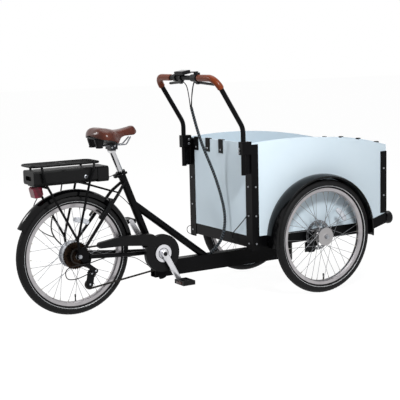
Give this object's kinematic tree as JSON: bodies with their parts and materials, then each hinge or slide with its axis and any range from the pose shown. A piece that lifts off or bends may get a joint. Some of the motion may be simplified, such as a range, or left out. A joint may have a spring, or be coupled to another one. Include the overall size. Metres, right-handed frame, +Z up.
{
  "type": "cargo tricycle",
  "caption": "Electric cargo tricycle with a pale blue open box between the front wheels, black frame, steering on a kingpin under the box and a rear hub motor",
  "frame": {"origin": "on the ground under the middle of the tricycle's bounding box", "axes": "+X forward towards the box, +Y to the rider's left, +Z up"},
  "size_m": [2.14, 0.829, 1.2028],
  "materials": {
    "frame_paint": "satin black powder coat",
    "panel_paint": "pale blue painted plywood",
    "fitting_steel": "plain zinc-plated steel",
    "tyre_rubber": "black tyre rubber",
    "rim_alloy": "brushed aluminium",
    "black_plastic": "moulded black plastic",
    "drive_steel": "oiled bronze-brown steel",
    "black_alloy": "black anodised alloy",
    "seat_chrome": "polished chrome",
    "saddle_cover": "reddish-brown cover",
    "grip_cover": "orange-brown grip cover",
    "cable_cover": "black cable sheath",
    "red_lens": "dark red lens",
    "clear_lens": "clear lens"
  },
  "bodies": {
    "frame": {"seat_tube": "frame_paint", "main_beam": "frame_paint", "down_strut": "frame_paint", "rear_stays": "frame_paint", "head_bearings": "fitting_steel", "chain_case": "black_plastic", "chain": "drive_steel", "rear_axle": "fitting_steel", "derailleur": "black_alloy", "rear_mudguard": "black_plastic", "rack_deck": "frame_paint", "rack_struts": "frame_paint", "battery_dock": "black_plastic", "tail_light": "red_lens", "seat_clamp": "fitting_steel", "rear_cables": "cable_cover"},
    "rear_wheel": {"rear_tyre": "tyre_rubber", "rear_rim": "rim_alloy", "hub_motor": "rim_alloy"},
    "cassette": {"cassette": "drive_steel"},
    "crank": {"crank_spindle": "fitting_steel", "crank_arms": "rim_alloy", "chainring": "drive_steel"},
    "pedal_right": {"pedal_right": "black_plastic"},
    "pedal_left": {"pedal_left": "black_plastic"},
    "guide_pulley": {"guide_pulley": "black_plastic"},
    "tension_pulley": {"tension_pulley": "black_plastic"},
    "cart": {"cart_chassis": "frame_paint", "kingpin": "frame_paint", "box_floor": "panel_paint", "rear_panel": "panel_paint", "front_panel": "panel_paint", "side_panels": "panel_paint", "corner_posts": "frame_paint", "box_fittings": "fitting_steel", "front_mudguards": "black_plastic", "stub_axles": "frame_paint", "brake_calipers": "black_alloy", "headlamps": "black_plastic", "lamp_lenses": "clear_lens", "handlebar": "frame_paint", "grips": "grip_cover", "bar_controls": "black_plastic", "cable_bundle": "cable_cover"},
    "front_wheel_left": {"front_tyre_left": "tyre_rubber", "front_rim_left": "rim_alloy", "front_hub_left": "rim_alloy"},
    "front_wheel_right": {"front_tyre_right": "tyre_rubber", "front_rim_right": "rim_alloy", "front_hub_right": "rim_alloy"},
    "brake_lever_left": {"brake_lever_left": "rim_alloy"},
    "brake_lever_right": {"brake_lever_right": "rim_alloy"},
    "shift_lever": {"shift_lever": "black_plastic"},
    "brake_arm_left": {"brake_arm_left": "black_alloy"},
    "brake_arm_right": {"brake_arm_right": "black_alloy"},
    "seat": {"seat_post": "seat_chrome", "saddle": "saddle_cover", "saddle_frame": "black_plastic"},
    "seat_lever": {"seat_lever": "fitting_steel"},
    "battery": {"battery": "black_plastic"}
  },
  "joints": [
    {"name": "rear_wheel_spin", "type": "hinge", "parent": "frame", "child": "rear_wheel", "pos_m": [-0.765, 0, 0.305], "axis": [0, 1, 0], "continuous": true},
    {"name": "crank_spin", "type": "hinge", "parent": "frame", "child": "crank", "pos_m": [-0.299, 0, 0.268], "axis": [0, 1, 0], "continuous": true},
    {"name": "cassette_spin", "type": "hinge", "parent": "frame", "child": "cassette", "pos_m": [-0.765, 0, 0.305], "axis": [0, 1, 0], "continuous": true},
    {"name": "guide_pulley_spin", "type": "hinge", "parent": "frame", "child": "guide_pulley", "pos_m": [-0.695, -0.05, 0.209], "axis": [0, 1, 0], "continuous": true},
    {"name": "tension_pulley_spin", "type": "hinge", "parent": "frame", "child": "tension_pulley", "pos_m": [-0.707, -0.05, 0.154], "axis": [0, 1, 0], "continuous": true},
    {"name": "pedal_right_spin", "type": "hinge", "parent": "crank", "child": "pedal_right", "pos_m": [-0.21658, -0.15, 0.11932], "axis": [0, 1, 0], "continuous": true},
    {"name": "pedal_left_spin", "type": "hinge", "parent": "crank", "child": "pedal_left", "pos_m": [-0.38142, 0.15, 0.41669], "axis": [0, 1, 0], "continuous": true},
    {"name": "steering", "type": "hinge", "parent": "frame", "child": "cart", "pos_m": [0.539, 0, 0.2], "axis": [0, 0, 1], "range_deg": [-35, 35], "deforming": ["cable_bundle"]},
    {"name": "front_wheel_left_spin", "type": "hinge", "parent": "cart", "child": "front_wheel_left", "pos_m": [0.523, 0.3685, 0.305], "axis": [0, 1, 0], "continuous": true},
    {"name": "front_wheel_right_spin", "type": "hinge", "parent": "cart", "child": "front_wheel_right", "pos_m": [0.523, -0.3685, 0.305], "axis": [0, 1, 0], "continuous": true},
    {"name": "brake_lever_left_pull", "type": "hinge", "parent": "cart", "child": "brake_lever_left", "pos_m": [-0.06389, 0.092, 1.13857], "axis": [0.6428, 0, 0.766], "range_deg": [0, 12], "stiffness_Nm_per_rad": 0.6},
    {"name": "brake_lever_right_pull", "type": "hinge", "parent": "cart", "child": "brake_lever_right", "pos_m": [-0.06389, -0.092, 1.13857], "axis": [-0.6428, 0, -0.766], "range_deg": [0, 12], "stiffness_Nm_per_rad": 0.6},
    {"name": "shift_lever_push", "type": "hinge", "parent": "cart", "child": "shift_lever", "pos_m": [-0.089, -0.118, 1.193], "axis": [0, 0, 1], "range_deg": [0, 25], "stiffness_Nm_per_rad": 0.2},
    {"name": "brake_arm_left_swing", "type": "hinge", "parent": "frame", "child": "brake_arm_left", "pos_m": [-0.62263, 0.05682, 0.477], "axis": [0.7709, 0, -0.637], "range_deg": [0, 4]},
    {"name": "brake_arm_right_swing", "type": "hinge", "parent": "frame", "child": "brake_arm_right", "pos_m": [-0.62263, -0.05682, 0.477], "axis": [-0.7709, 0, 0.637], "range_deg": [0, 4]},
    {"name": "seat_height", "type": "slide", "parent": "frame", "child": "seat", "axis": [-0.3681, 0, 0.9298], "range_m": [-0.06, 0.08]},
    {"name": "seat_lever_open", "type": "hinge", "parent": "frame", "child": "seat_lever", "pos_m": [-0.51492, -0.034, 0.68076], "axis": [0.3681, 0, -0.9298], "range_deg": [0, 150]},
    {"name": "battery_slide", "type": "slide", "parent": "frame", "child": "battery", "axis": [-1, 0, 0], "range_m": [0, 0.3]}
  ],
  "couplings": [
    {"joint": "cassette_spin", "follows": "crank_spin", "ratio": 2.3333},
    {"joint": "guide_pulley_spin", "follows": "crank_spin", "ratio": -3.8182},
    {"joint": "tension_pulley_spin", "follows": "crank_spin", "ratio": 3.8182},
    {"joint": "brake_arm_left_swing", "follows": "brake_lever_right_pull", "ratio": 0.33333},
    {"joint": "brake_arm_right_swing", "follows": "brake_lever_right_pull", "ratio": 0.33333}
  ]
}
